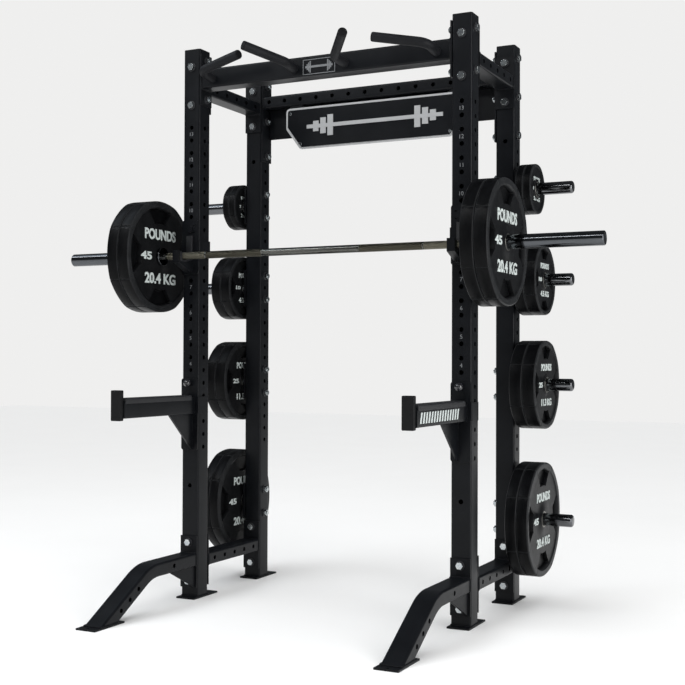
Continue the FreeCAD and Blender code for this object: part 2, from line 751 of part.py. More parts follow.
def safety_arm(side):
    """Welded arm: saddle bracket, box tube, gusset below and a fixed peg in a lower hole."""
    x = side * SIDE_X
    face = FRONT_Y - HALF - SADDLE_GAP - 5
    front = FRONT_Y - ARM_END
    bracket = saddle(x, ARM_LOW + 2, ARM_TOP - 6, 60.0, ARM_BACK_LOW, ARM_BACK_TOP, 5.0)
    tube_top = ARM_TOP - LINER_T
    height = tube_top - ARM_LOW
    tube = lay_along(square_tube(ARM_W, height, face - front, 4.0, 5.0), "y")
    tube.translate(V(x, front, ARM_LOW + height / 2))
    web_x = x - side * 12.5
    gusset = profile_yz([(face, ARM_LOW), (face - 160, ARM_LOW), (face - 5, ARM_BACK_LOW + 3),
                         (face, ARM_BACK_LOW + 3)], web_x - 4, 8)
    peg = rod((x, face, TOP_HOLE_Z - PITCH * 23), (0, 1, 0), HOLE_R - 0.75, 40)
    arm = fuse_all([bracket, tube, gusset, peg])
    return arm.cut(rod((x, face - 10, ARM_PIN_Z), (0, 1, 0), PIN_R + 0.05, 30))


def arm_liner(side):
    """Plastic cap strip that folds over the top of the arm, where a dropped bar lands."""
    x = side * SIDE_X
    face = FRONT_Y - HALF - SADDLE_GAP - 5
    y0 = FRONT_Y - ARM_END + 4
    y1 = face - 26
    half = ARM_W / 2 + LINER_SIDE
    cap = span(x - half, x + half, y0, y1, ARM_TOP - LINER_SKIRT, ARM_TOP)
    edges = [e for e in cap.Edges if abs(e.tangentAt(e.FirstParameter).y) > 0.9 and e.CenterOfMass.z > ARM_TOP - 1]
    cap = cap.makeFillet(5.0, edges)
    low = ARM_TOP - LINER_T
    groove = span(x - ARM_W / 2, x + ARM_W / 2, y0 - 1, y1 + 1, low - 30, low)
    return cap.cut(groove)


def arm_stop(side):
    """Tall block on the end of the arm, which keeps a bar from rolling off."""
    x = side * SIDE_X
    front = FRONT_Y - ARM_END
    block = span(x - 21, x + 21, front - ARM_CAP_T, front, 721, 832)
    return block.makeFillet(4.0, [e for e in block.Edges if abs(e.tangentAt(e.FirstParameter).y) > 0.9])


def arm_pin(side):
    """Spring-loaded pull pin: a plunger through the bracket and a round knob in front."""
    x = side * SIDE_X
    face = FRONT_Y - HALF - SADDLE_GAP - 5
    plunger = rod((x, face - 8, ARM_PIN_Z), (0, 1, 0), PIN_R, 34)
    knob = Part.makeSphere(KNOB_R, V(x, face - 17, ARM_PIN_Z))
    knob = knob.common(span(x - 20, x + 20, face - 60, face - 4, ARM_PIN_Z - 20, ARM_PIN_Z + 20))
    return fuse_all([plunger, knob])


# --- build ----------------------------------------------------------------------------------------

def build_nodes():
    nodes = {}
    for side_name, side in SIDES:
        x = side * SIDE_X
        nodes["front_" + side_name + "_upright"] = upright(x, FRONT_Y, False)
        nodes["rear_" + side_name + "_upright"] = upright(x, REAR_Y, True)
        nodes[side_name + "_top_member"] = side_member(side, SIDE_TOP_Z)
        nodes[side_name + "_bottom_member"] = side_member(side, SIDE_LOW_Z)
        nodes[side_name + "_leg"] = leg(side)
        nodes[side_name + "_horns"] = horns(side)
        nodes[side_name + "_bar_catch"] = bar_catch(side)
        nodes[side_name + "_catch_liner"] = catch_liner(side)
        nodes[side_name + "_safety_arm"] = safety_arm(side)
        nodes[side_name + "_arm_liner"] = arm_liner(side)
        nodes[side_name + "_arm_stop"] = arm_stop(side)
        nodes[side_name + "_arm_pin"] = arm_pin(side)
        nodes[side_name + "_sleeve"] = sleeve(side)
        bar_x = SHOULDER_X + COLLAR_T + 0.7
        nodes[side_name + "_bar_plates"] = plate_pair(side, bar_x, BAR_Y, BAR_Z, BAR_PLATE_R, BAR_PLATE_T)
        for label, z, radius, thickness in zip(STACK_NAMES, HORN_Z, STACK_R, STACK_T):
            stack = plate_pair(side, STACK_X, REAR_Y, z, radius, thickness)
            nodes[side_name + "_" + label + "_plates"] = stack
    nodes["bar_shaft"] = bar_shaft()
    nodes["base_plates"] = base_plates()
    nodes["upright_caps"] = upright_caps()
    nodes["pull_up_beam"] = pull_up_beam()
    nodes["pull_up_beam_flanges"] = pull_up_beam_flanges()
    nodes["outer_grips"] = grips("outer")
    nodes["inner_grips"] = grips("inner")
    nodes["grip_end_caps"] = grip_end_caps()
    nodes["beam_badge"] = beam_badge()
    nodes["rear_beam"] = rear_beam()
    nodes["rear_panel"] = rear_panel()
    nodes["rear_flanges"] = rear_flanges()
    nodes["sign_border"] = sign_border()
    nodes["sign_plate"] = sign_plate()
    nodes["sign_screws"] = sign_screws()
    nodes["sign_straps"] = sign_straps()
    nodes["side_flanges"] = side_flanges()
    nodes["leg_flanges"] = leg_flanges()
    nodes["leg_floor_plates"] = leg_floor_plates()
    nodes["frame_bolts"] = frame_bolts()
    nodes["frame_washers"] = frame_washers()
    nodes["frame_nuts"] = frame_nuts()
    nodes["horn_brackets"] = horn_brackets()
    return nodes


os.makedirs("parts", exist_ok=True)
for name, shape in sorted(build_nodes().items()):
    shape.exportStep(os.path.join("parts", name + ".step"))
    print(name, len(shape.Solids), "solids", round(shape.Volume / 1000), "cm3", shape.isValid())
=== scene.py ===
import json
import math

import bmesh
import bpy
import numpy as np
from mathutils import Matrix, Vector


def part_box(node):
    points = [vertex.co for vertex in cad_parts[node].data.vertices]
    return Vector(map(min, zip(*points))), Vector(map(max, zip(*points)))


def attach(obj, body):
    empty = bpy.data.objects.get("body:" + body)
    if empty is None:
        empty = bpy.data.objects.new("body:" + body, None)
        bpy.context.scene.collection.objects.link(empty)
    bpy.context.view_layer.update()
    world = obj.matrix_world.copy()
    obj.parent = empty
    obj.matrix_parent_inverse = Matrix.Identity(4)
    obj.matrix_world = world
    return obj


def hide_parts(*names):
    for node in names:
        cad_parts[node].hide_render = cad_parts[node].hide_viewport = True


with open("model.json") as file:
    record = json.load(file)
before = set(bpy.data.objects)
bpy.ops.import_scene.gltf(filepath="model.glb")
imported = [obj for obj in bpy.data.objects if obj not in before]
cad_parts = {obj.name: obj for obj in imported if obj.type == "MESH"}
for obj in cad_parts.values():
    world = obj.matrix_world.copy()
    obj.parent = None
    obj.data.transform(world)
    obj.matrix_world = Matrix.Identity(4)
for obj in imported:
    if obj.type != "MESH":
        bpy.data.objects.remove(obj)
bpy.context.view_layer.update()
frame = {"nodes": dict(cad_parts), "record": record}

# --- Powder coat on the frame ---------------------------------------------------------------------
# Every welded steel part is sprayed with dry black powder and baked. The coat is satin, with a very
# fine orange peel and slightly uneven gloss, and the flat plates took it a touch rougher.


class Tone:
    """One socket of a material's tree. Arithmetic on it adds Math nodes, and node() adds any other."""

    def __init__(self, tree, socket=None):
        self.tree = tree
        self.socket = socket

    def node(self, kind, settings=None, values=None, out=0):
        made = self.tree.nodes.new(kind)
        for key, value in (settings or {}).items():
            setattr(made, key, value)
        for key, value in (values or {}).items():
            if isinstance(value, Tone):
                self.tree.links.new(value.socket, made.inputs[key])
            else:
                made.inputs[key].default_value = value
        return Tone(self.tree, made.outputs[out])

    def maths(self, operation, *terms):
        return self.node("ShaderNodeMath", {"operation": operation}, dict(enumerate(terms)))

    def __add__(self, other): return self.maths("ADD", self, other)
    def __radd__(self, other): return self.maths("ADD", other, self)
    def __sub__(self, other): return self.maths("SUBTRACT", self, other)
    def __rsub__(self, other): return self.maths("SUBTRACT", other, self)
    def __mul__(self, other): return self.maths("MULTIPLY", self, other)
    def __rmul__(self, other): return self.maths("MULTIPLY", other, self)
    def __truediv__(self, other): return self.maths("DIVIDE", self, other)
    def __gt__(self, other): return self.maths("GREATER_THAN", self, other)
    def __lt__(self, other): return self.maths("LESS_THAN", self, other)
    def __abs__(self): return self.maths("ABSOLUTE", self)

    def part(self, index):
        """One of the three parts of this vector."""
        return self.node("ShaderNodeSeparateXYZ", {}, {0: self}, index)

    def noise(self, scale, detail=2.0, rough=0.5, stretch=(1, 1, 1)):
        """Value noise on this coordinate, scale features to the metre."""
        spread = self.node("ShaderNodeMapping", {}, {0: self, 3: stretch})
        return self.node("ShaderNodeTexNoise", {}, {"Vector": spread, "Scale": scale, "Detail": detail,
                                                    "Roughness": rough})

    def mark(self, name):
        """Value stored on the mesh under this name."""
        return self.node("ShaderNodeAttribute", {"attribute_name": name}, {}, 2)

    def between(self, low, high):
        """This value from low to high, stretched over 0 to 1 and held there."""
        return self.node("ShaderNodeMapRange", {"clamp": True}, {"Value": self, 1: low, 2: high})

    def blend(self, first, second):
        """The first colour where this value is 0, and the second where it is 1."""
        return self.node("ShaderNodeMix", {"data_type": "RGBA"}, {"Factor": self, 6: first, 7: second}, 2)


def rgb(red, green, blue):
    return (red, green, blue, 1.0)


def new_material(name, colour, roughness, metallic=0.0, height=None, bump=0.1, depth=0.0005, **fixed):
    """Principled material whose colour, roughness and relief may vary; what is fixed goes on its sockets."""
    material = bpy.data.materials.new(name)
    material.use_nodes = True
    tree = material.node_tree
    shader = tree.nodes["Principled BSDF"]
    root = Tone(tree)
    place = root.node("ShaderNodeTexCoord", out="Object")
    for socket, value in (("Base Color", colour), ("Roughness", roughness), ("Metallic", metallic)):
        value = value(place) if callable(value) else value
        if isinstance(value, Tone):
            tree.links.new(value.socket, shader.inputs[socket])
        else:
            shader.inputs[socket].default_value = value
    if height is not None:
        relief = root.node("ShaderNodeBump", {}, {"Strength": bump, "Distance": depth, "Height": height(place)})
        tree.links.new(relief.socket, shader.inputs["Normal"])
    for socket, value in fixed.items():
        shader.inputs[socket.replace("_", " ")].default_value = value
    return material


def powder(name, dark, light, gloss, peel=0.10, grain=1400.0):
    """Black powder coat: cloudy colour, patchy gloss and an orange-peel relief."""
    return new_material(
        name,
        lambda at: at.noise(9.0, 3.0).between(0.3, 0.7).blend(dark, light),
        lambda at: at.noise(14.0, 4.0, 0.6) * 0.10 + at.noise(420.0, 1.0) * 0.06 + (gloss - 0.08),
        height=lambda at: at.noise(grain, 2.0, 0.6), bump=peel, depth=0.0004, Specular_IOR_Level=0.16)


coat = powder("powder_coat", rgb(0.0042, 0.0048, 0.0060), rgb(0.0070, 0.0078, 0.0095), 0.31)
plate_coat = powder("plate_coat", rgb(0.0040, 0.0045, 0.0056), rgb(0.0066, 0.0074, 0.0090), 0.42, 0.14, 1100.0)
body_of = {n: body for body, nodes in frame["record"]["behaviour"]["bodies"].items() for n in nodes}


def dress(node, material, edge=0.0, smooth=32.0, steps=2):
    """Finished skin over a CAD piece: its own mesh, merged, shaded smooth, with edges rounded by edge metres."""
    source = frame["nodes"][node]
    mesh = source.data.copy()
    mesh.materials.clear()
    mesh.materials.append(material)
    work = bmesh.new()
    work.from_mesh(mesh)
    bmesh.ops.remove_doubles(work, verts=work.verts, dist=2e-6)
    bmesh.ops.dissolve_limit(work, angle_limit=math.radians(0.6), verts=work.verts, edges=work.edges)
    work.to_mesh(mesh)
    work.free()
    mesh.shade_smooth()
    mesh.set_sharp_from_angle(angle=math.radians(smooth))
    piece = bpy.data.objects.new(node + "_skin", mesh)
    bpy.context.scene.collection.objects.link(piece)
    if edge:
        rounding = piece.modifiers.new("rounded_edges", "BEVEL")
        rounding.width = edge
        rounding.segments = steps
        rounding.limit_method = "ANGLE"
        rounding.angle_limit = math.radians(50)
        rounding.harden_normals = True
    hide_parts(node)
    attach(piece, body_of[node])
    return piece


# --- Uprights -------------------------------------------------------------------------------------
# Four square tubes with rounded corners, laser-cut with adjustment holes, welded to base plates and
# closed at the top with push-in plastic caps.

for end in ("front", "rear"):
    for side in ("left", "right"):
        dress(f"{end}_{side}_upright", coat)
dress("base_plates", plate_coat, 0.0012)

moulded = new_material(
    "moulded_cap", lambda at: at.noise(30.0, 2.0).blend(rgb(0.0045, 0.0046, 0.0052), rgb(0.0080, 0.0082, 0.0090)),
    lambda at: at.noise(160.0, 3.0) * 0.2 + 0.38, height=lambda at: at.noise(2400.0, 2.0), bump=0.15, depth=0.0003,
    Specular_IOR_Level=0.2)
dress("upright_caps", moulded, 0.0015)

# Numbers are printed in pale grey between every second pair of holes, the highest one at the top.
# They let both sides be set to the same height.

print_ink = new_material(
    "pale_print", lambda at: at.noise(900.0, 3.0, 0.7).between(0.35, 0.6).blend(rgb(0.10, 0.105, 0.11),
                                                                               rgb(0.24, 0.25, 0.26)),
    lambda at: at.noise(500.0, 2.0) * 0.2 + 0.5)
PITCH = 0.0508
TOP_NUMBER_Z = 1.8668 - PITCH / 2
NUMBERS = 13
NUMBER_H = 0.0145


def lettering(words, height, place, right, up, thick=0.0003, weight=0.0, width=None):
    """Flat raised lettering as arrays: points and faces, centred on place, drawn out to width if it is given."""
    curve = bpy.data.curves.new("words", "FONT")
    curve.body = words
    curve.size = 1.0
    curve.offset = weight
    curve.align_x = "CENTER"
    curve.align_y = "CENTER"
    curve.resolution_u = 4
    curve.extrude = 0.5
    holder = bpy.data.objects.new("words", curve)
    bpy.context.scene.collection.objects.link(holder)
    bpy.context.view_layer.update()
    mesh = bpy.data.meshes.new_from_object(holder.evaluated_get(bpy.context.evaluated_depsgraph_get()))
    bpy.data.objects.remove(holder)
    points = np.empty(len(mesh.vertices) * 3)
    mesh.vertices.foreach_get("co", points)
    points = points.reshape(-1, 3)
    faces = [tuple(face.vertices) for face in mesh.polygons]
    bpy.data.meshes.remove(mesh)
    size = np.full(2, height / np.ptp(points[:, 1]))
    if width:
        size[0] = width / np.ptp(points[:, 0])
    middle = (points[:, :2].max(0) + points[:, :2].min(0)) / 2
    right = np.array(right, float)
    up = np.array(up, float)
    out = np.cross(right, up)
    flat = (points[:, :2] - middle) * size
    placed = np.array(place) + flat[:, :1] * right + flat[:, 1:] * up + (points[:, 2:] + 0.5) * thick * out
    return placed, faces


def joined(name, parts, material, body, smooth=None):
    """One piece from several (points, faces) parts, riding on a body."""
    points = np.concatenate([p for p, f in parts])
    starts = np.cumsum([0] + [len(p) for p, f in parts])
    faces = [tuple(int(i + start) for i in face) for start, (p, fs) in zip(starts, parts) for face in fs]
    mesh = bpy.data.meshes.new(name)
    mesh.from_pydata(points.tolist(), [], faces)
    mesh.materials.append(material)
    if smooth is not None:
        mesh.shade_smooth()
        mesh.set_sharp_from_angle(angle=math.radians(smooth))
    piece = bpy.data.objects.new(name, mesh)
    bpy.context.scene.collection.objects.link(piece)
    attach(piece, body)
    return piece


for side in ("left", "right"):
    low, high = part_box(f"front_{side}_upright")
    middle_x = (low.x + high.x) / 2
    marks = [lettering(str(NUMBERS - k), NUMBER_H, (middle_x, low.y, TOP_NUMBER_Z - 2 * PITCH * k), (1, 0, 0),
                       (0, 0, 1)) for k in range(NUMBERS)]
    joined(f"{side}_upright_numbers", marks, print_ink, "frame")

# --- Beams, side members, legs and their flanges --------------------------------------------------
# The pull-up beam, the flat holed tubes and the bent legs end in thick flange plates. Each tube is
# welded to its plates all round, and the bead was laid in short overlapping ripples.

for node in ("pull_up_beam", "rear_beam", "left_leg", "right_leg", "left_top_member", "right_top_member",
             "left_bottom_member", "right_bottom_member"):
    dress(node, coat)
for node in ("pull_up_beam_flanges", "rear_flanges", "side_flanges", "leg_flanges", "leg_floor_plates",
             "horn_brackets", "rear_panel", "sign_straps"):
    dress(node, plate_coat, 0.0010)


def quads(rows, columns, close_rows=False, close_columns=False):
    """Faces of a grid of points stored row by row, joined end to start where it is closed."""
    r = np.arange(rows if close_rows else rows - 1)[:, None]
    c = np.arange(columns if close_columns else columns - 1)[None, :]
    r2 = (r + 1) % rows
    c2 = (c + 1) % columns
    corners = [r * columns + c, r * columns + c2, r2 * columns + c2, r2 * columns + c]
    return np.stack([np.broadcast_to(k, (len(r), c.shape[1])) for k in corners], -1).reshape(-1, 4)


def bead(path, radius, ripple=0.0035):
    """Closed weld bead: a circle carried round a closed path, its radius rippling along the length."""
    path = np.asarray(path, float)
    ahead = np.roll(path, -1, 0) - np.roll(path, 1, 0)
    ahead /= np.linalg.norm(ahead, axis=1)[:, None]
    flat = np.cross(ahead, np.roll(ahead, -3, 0) + 1e-6).sum(0)
    flat /= np.linalg.norm(flat)
    across = np.cross(ahead, flat)
    length = np.cumsum(np.linalg.norm(path - np.roll(path, 1, 0), axis=1))
    size = radius * (0.9 + 0.16 * np.abs(np.sin(np.pi * length / ripple)))
    turn = np.linspace(0, 2 * np.pi, 8, endpoint=False)
    ring = across[:, None] * np.cos(turn)[None, :, None] + flat * np.sin(turn)[None, :, None]
    points = path[:, None] + ring * size[:, None, None]
    return points.reshape(-1, 3), quads(len(path), 8, True, True)


def rounded_loop(centre, first, second, half_first, half_second, corner, step=0.0018):
    """Points round a rounded rectangle in the plane of two directions, a step apart."""
    first = np.array(first, float)
    second = np.array(second, float)
    arc = np.linspace(0, np.pi / 2, 8)
    a, b = half_first - corner, half_second - corner
    pieces = []
    for quarter, (sa, sb) in enumerate(((1, 1), (-1, 1), (-1, -1), (1, -1))):
        t = arc + quarter * np.pi / 2
        pieces.append(np.stack([sa * a + corner * np.cos(t), sb * b + corner * np.sin(t)], 1))
    outline = np.concatenate(pieces)
    closed = np.concatenate([outline, outline[:1]])
    gone = np.concatenate([[0], np.cumsum(np.linalg.norm(np.diff(closed, axis=0), axis=1))])
    spots = np.linspace(0, gone[-1], int(gone[-1] / step), endpoint=False)
    flat = np.stack([np.interp(spots, gone, closed[:, k]) for k in (0, 1)], 1)
    return np.array(centre) + flat[:, :1] * first + flat[:, 1:] * second


X, Y, Z = (1, 0, 0), (0, 1, 0), (0, 0, 1)
LEG_H = 0.0508           # the legs are flat tube, cut at 30 degrees where they meet the floor plate
beads = []
for node in ("pull_up_beam", "rear_beam"):
    low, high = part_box(node)
    middle = (low + high) / 2
    half = (high - low) / 2
    for x in (low.x + 0.001, high.x - 0.001):
        beads.append(bead(rounded_loop((x, middle.y, middle.z), Y, Z, half.y, half.z, 0.008), 0.0034))
for side in ("left", "right"):
    for level in ("top", "bottom"):
        low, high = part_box(f"{side}_{level}_member")
        middle = (low + high) / 2
        half = (high - low) / 2
        for y in (low.y + 0.001, high.y - 0.001):
            beads.append(bead(rounded_loop((middle.x, y, middle.z), X, Z, half.x, half.z, 0.008), 0.0034))
    low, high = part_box(f"{side}_leg")
    half = (high.x - low.x) / 2
    beads.append(bead(rounded_loop(((low.x + high.x) / 2, high.y - 0.001, high.z - LEG_H / 2), X, Z, half, LEG_H / 2,
                                   0.008), 0.0036))
    beads.append(bead(rounded_loop(((low.x + high.x) / 2, low.y + LEG_H, low.z + 0.001), X, Y, half, LEG_H, 0.010),
                      0.0036))
    for end in ("front", "rear"):
        low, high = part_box(f"{end}_{side}_upright")
        middle = (low + high) / 2
        beads.append(bead(rounded_loop((middle.x, middle.y, low.z + 0.001), X, Y, (high.x - low.x) / 2,
                                       (high.y - low.y) / 2, 0.008), 0.0034))
joined("weld_beads", beads, plate_coat, "frame", 60)

# --- Fasteners ------------------------------------------------------------------------------------
# Zinc-plated hex bolts and nuts with black washers clamp every flange. The plating is bright, with a
# faint yellow and blue bloom and rub marks from the wrench.

zinc = new_material(
    "zinc_plate", lambda at: at.noise(160.0, 3.0).between(0.3, 0.7).blend(rgb(0.40, 0.44, 0.48), rgb(0.60, 0.62, 0.60)),
    lambda at: at.noise(700.0, 3.0) * 0.14 + 0.12, 1.0, lambda at: at.noise(1800.0, 2.0), 0.08, 0.0003)
black_washer = new_material(
    "black_oxide", lambda at: at.noise(300.0, 2.0).blend(rgb(0.010, 0.010, 0.012), rgb(0.030, 0.030, 0.034)),
    lambda at: at.noise(600.0, 2.0) * 0.2 + 0.35)
dress("frame_bolts", zinc, 0.0010)
dress("frame_nuts", zinc, 0.0010)
dress("frame_washers", black_washer, 0.0005)

# --- Grips ----------------------------------------------------------------------------------------
# Two pairs of bent round bars come out of the front of the beam at different angles. Their coat has
# a coarse grit in it so that hands don't slip, and a disc closes each end.

grit = powder("grip_grit", rgb(0.0070, 0.0075, 0.0090), rgb(0.0125, 0.0130, 0.0150), 0.54, 0.55, 900.0)
dress("outer_grips", grit, smooth=40)
dress("inner_grips", grit, smooth=40)
dress("grip_end_caps", moulded, 0.0012)

# --- Badge and sign -------------------------------------------------------------------------------
# A printed badge sits on the front of the beam. The sign under the rear beam is two plates screwed to
# hanging straps: a light grey one that shows as a border and a black one with a raised barbell symbol.

dress("beam_badge", coat, 0.0004)
sign_grey = new_material(
    "sign_border_grey", lambda at: at.noise(60.0, 3.0).blend(rgb(0.40, 0.405, 0.41), rgb(0.52, 0.525, 0.53)),
    lambda at: at.noise(240.0, 3.0) * 0.15 + 0.42)
dress("sign_border", sign_grey, 0.0006)
dress("sign_plate", coat, 0.0006)
dress("sign_screws", zinc, 0.0008)


def slab(x0, x1, z0, z1, y, thick, slant=0.0):
    """Thin raised block on a face that looks towards -Y, its top pushed sideways by slant."""
    points = np.array([(x, y - t, z) for t in (0.0, thick) for x, z in
                       ((x0, z0), (x1, z0), (x1 + slant, z1), (x0 + slant, z1))])
    faces = [(4, 5, 6, 7), (3, 2, 1, 0), (0, 1, 5, 4), (1, 2, 6, 5), (2, 3, 7, 6), (3, 0, 4, 7)]
    return points, faces


def barbell_symbol(centre_x, centre_z, width, height, y, thick):
    """Barbell drawn with blocks: a long bar and three plates that grow towards the middle at each end."""
    parts = [slab(centre_x - width / 2, centre_x + width / 2, centre_z - height * 0.09, centre_z + height * 0.09,
                  y, thick * 1.3)]
    for hand in (-1, 1):
        for step, tall in ((0.43, 0.50), (0.375, 0.76), (0.32, 1.0)):
            middle = centre_x + hand * width * step
            parts.append(slab(middle - width * 0.021, middle + width * 0.021, centre_z - height * tall / 2,
                              centre_z + height * tall / 2, y, thick))
    return parts


low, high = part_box("sign_plate")
sign_middle = (low + high) / 2
raised_grey = new_material(
    "sign_symbol", lambda at: at.noise(400.0, 3.0).blend(rgb(0.38, 0.385, 0.39), rgb(0.50, 0.505, 0.51)),
    lambda at: at.noise(300.0, 2.0) * 0.2 + 0.4, 0.3)
symbol = barbell_symbol(sign_middle.x, sign_middle.z + 0.004, 0.62, 0.088, low.y, 0.0022)
joined("sign_symbol", symbol, raised_grey, "frame")
low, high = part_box("beam_badge")
badge = barbell_symbol(0.0, (low.z + high.z) / 2, 0.116, 0.044, low.y, 0.0006)
side_x = high.x - 0.004
for hand in (-1, 1):
    badge.append(slab(hand * side_x - 0.0012, hand * side_x + 0.0012, low.z + 0.0022, high.z - 0.0022, low.y, 0.0006))
for z in (low.z + 0.0034, high.z - 0.0034):
    badge.append(slab(-side_x, side_x, z - 0.0012, z + 0.0012, low.y, 0.0006))
joined("badge_print", badge, print_ink, "frame")

# --- Storage horns --------------------------------------------------------------------------------
# Solid pegs turned from bar, with a stop ring at the root and a rounded tip, in dark bright chrome.
# Sliding plates have left fine rings and long scratches on them.

dark_chrome = new_material(
    "dark_chrome", lambda at: at.noise(40.0, 3.0, 0.6, (0.2, 1, 1)).blend(rgb(0.11, 0.114, 0.120),
                                                                         rgb(0.180, 0.184, 0.192)),
    lambda at: at.noise(500.0, 3.0, 0.6, (0.15, 1, 1)) * 0.12 + 0.05, 1.0,
    lambda at: at.noise(1500.0, 2.0, 0.5, (0.1, 1, 1)), 0.04, 0.0003)


def lathe(profile, start, axis_y, axis_z, hand, steps=64):
    """Surface of revolution: a profile of distance along X and radius, turned about an axis along X."""
    profile = np.asarray(profile, float)
    turn = np.linspace(0, 2 * np.pi, steps, endpoint=False)
    x = start + hand * profile[:, :1] + 0 * turn
    y = axis_y + profile[:, 1:] * np.cos(turn)
    z = axis_z + profile[:, 1:] * np.sin(turn)
    faces = quads(len(profile), steps, False, True)
    return np.stack([x, y, z], -1).reshape(-1, 3), faces if hand < 0 else faces[:, ::-1]


def arc(centre_along, centre_radius, radius, from_deg, to_deg, count=7):
    """Profile points on an arc, angles measured from the outward radius towards the free end."""
    t = np.radians(np.linspace(from_deg, to_deg, count))
    return [(centre_along + radius * math.sin(k), centre_radius + radius * math.cos(k)) for k in t]


def tidy(piece):
    """Merge the points that meet at a pole and turn every face outwards."""
    work = bmesh.new()
    work.from_mesh(piece.data)
    bmesh.ops.remove_doubles(work, verts=work.verts, dist=2e-6)
    bmesh.ops.recalc_face_normals(work, faces=work.faces)
    work.to_mesh(piece.data)
    work.free()
    piece.data.shade_smooth()
    piece.data.set_sharp_from_angle(angle=math.radians(35))
    return piece


HORN_Z = (1.6128, 1.2572, 0.8508, 0.3298)
HORN_R = 0.024
RING_R = 0.033
RING_T = 0.0124
low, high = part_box("right_horns")
horn_y = (low.y + high.y) / 2
horn_root = low.x
horn_length = high.x - low.x
GROOVE_GAP, GROOVE_W, GROOVE_D = 0.0015, 0.0020, 0.0008


def horn_profile(groove):
    """Stop ring at the root, a shallow groove (assumed) just outside the plates, and a rounded tip."""
    profile = [(0.0, 0.0), (0.0, RING_R - 0.001), (0.001, RING_R), (RING_T - 0.002, RING_R), (RING_T, RING_R - 0.002),
               (RING_T, HORN_R + 0.002), (RING_T + 0.002, HORN_R), (RING_T + 0.02, HORN_R)]
    profile += [(groove, HORN_R), (groove, HORN_R - GROOVE_D), (groove + GROOVE_W, HORN_R - GROOVE_D),
                (groove + GROOVE_W, HORN_R), (horn_length - 0.03, HORN_R)]
    profile += arc(horn_length - 0.009, HORN_R - 0.009, 0.009, 0, 90)
    return profile + [(horn_length, 0.006), (horn_length, 0.0)]


for hand, side in ((-1, "left"), (1, "right")):
    pegs = []
    for label, z in zip(("five", "ten", "twentyfive", "fortyfive"), HORN_Z):
        low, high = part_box(f"right_{label}_plates")
        groove = high.x - horn_root + GROOVE_GAP
        pegs.append(lathe(horn_profile(groove), hand * horn_root, horn_y, z, hand))
    horns = tidy(joined(f"{side}_turned_horns", pegs, dark_chrome, "frame"))
    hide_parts(f"{side}_horns")

# --- Weight plates --------------------------------------------------------------------------------
# Iron cores moulded into black rubber: a raised rim split into eight facets by shallow grooves, a
# sunken face, four deep finger pockets that narrow towards the hub, and a pressed-in steel ring. The
# raised rim is painted lighter than the face as a painted sheen, and the pocket floors and the outer
# edge are painted darker as painted shade.

# The rubber colour follows a per-point share of painted light: lighter on the raised rim as a painted sheen, darkest in
# the pocket floors and on the outer edge as painted shade.
rubber = new_material(
    "plate_rubber", lambda at: at.noise(26.0, 4.0, 0.6).between(0.3, 0.7).blend(
        at.mark("rim_sheen_pocket_shade").blend(rgb(0.0016, 0.0017, 0.0020), rgb(0.012, 0.0126, 0.0135)),
        at.mark("rim_sheen_pocket_shade").blend(rgb(0.0034, 0.0036, 0.0042), rgb(0.022, 0.023, 0.0245))),
    lambda at: at.noise(60.0, 4.0, 0.65) * 0.20 + 0.26, height=lambda at: at.noise(1300.0, 3.0, 0.6), bump=0.16,
    depth=0.0004, Specular_IOR_Level=0.10)
hub_steel = new_material(
    "hub_steel", lambda at: at.noise(120.0, 3.0).blend(rgb(0.16, 0.155, 0.14), rgb(0.30, 0.295, 0.27)),
    lambda at: at.noise(500.0, 3.0) * 0.2 + 0.22, 1.0)
plate_print = new_material(
    "plate_print", lambda at: at.noise(700.0, 3.0, 0.7).between(0.3, 0.6).blend(rgb(0.42, 0.46, 0.45),
                                                                               rgb(0.68, 0.74, 0.72)),
    lambda at: at.noise(400.0, 2.0) * 0.2 + 0.45)
BORE_R = 0.0254
FACET = math.radians(27)
FLATNESS = 0.22          # 0 is a round plate and 1 has straight sides
POCKET_IN, POCKET_OUT = 0.59, 0.855
RIM_IN = 0.885
POCKET_DEPTH = 0.0155
FACE_NOTCH, RIM_NOTCH = 0.0022, 0.0024


def facet_radius(angle):
    """Outline of a plate as a share of its radius: arcs flattened a little between eight corners."""
    quarter = (angle + np.pi / 4) % (np.pi / 2) - np.pi / 4
    diagonal = np.pi / 4 - FACET
    offset = np.where(np.abs(quarter) < FACET, quarter, np.abs(quarter) - np.pi / 4)
    half = np.where(np.abs(quarter) < FACET, FACET, diagonal)
    return 1 - FLATNESS + FLATNESS * np.cos(half) / np.cos(offset)


def corner_notch(angle, width):
    """1 at the eight facet corners, falling to 0 a width away on each side."""
    quarter = (angle + np.pi / 4) % (np.pi / 2) - np.pi / 4
    return np.clip(1 - np.abs(np.abs(quarter) - FACET) / width, 0, 1)


def plate_angles():
    """Angles round a plate, closer together at pocket sides and facet corners."""
    side = math.radians(20)
    fine = [side - 0.035, side - 0.012, side + 0.012, side + 0.035, FACET - 0.016, FACET, FACET + 0.016]
    quarter = np.concatenate([np.linspace(-np.pi / 4, np.pi / 4, 31)[:-1], fine, [-k for k in fine]])
    return np.unique(np.round((quarter[:, None] + np.arange(4) * np.pi / 2).ravel() % (2 * np.pi), 5))


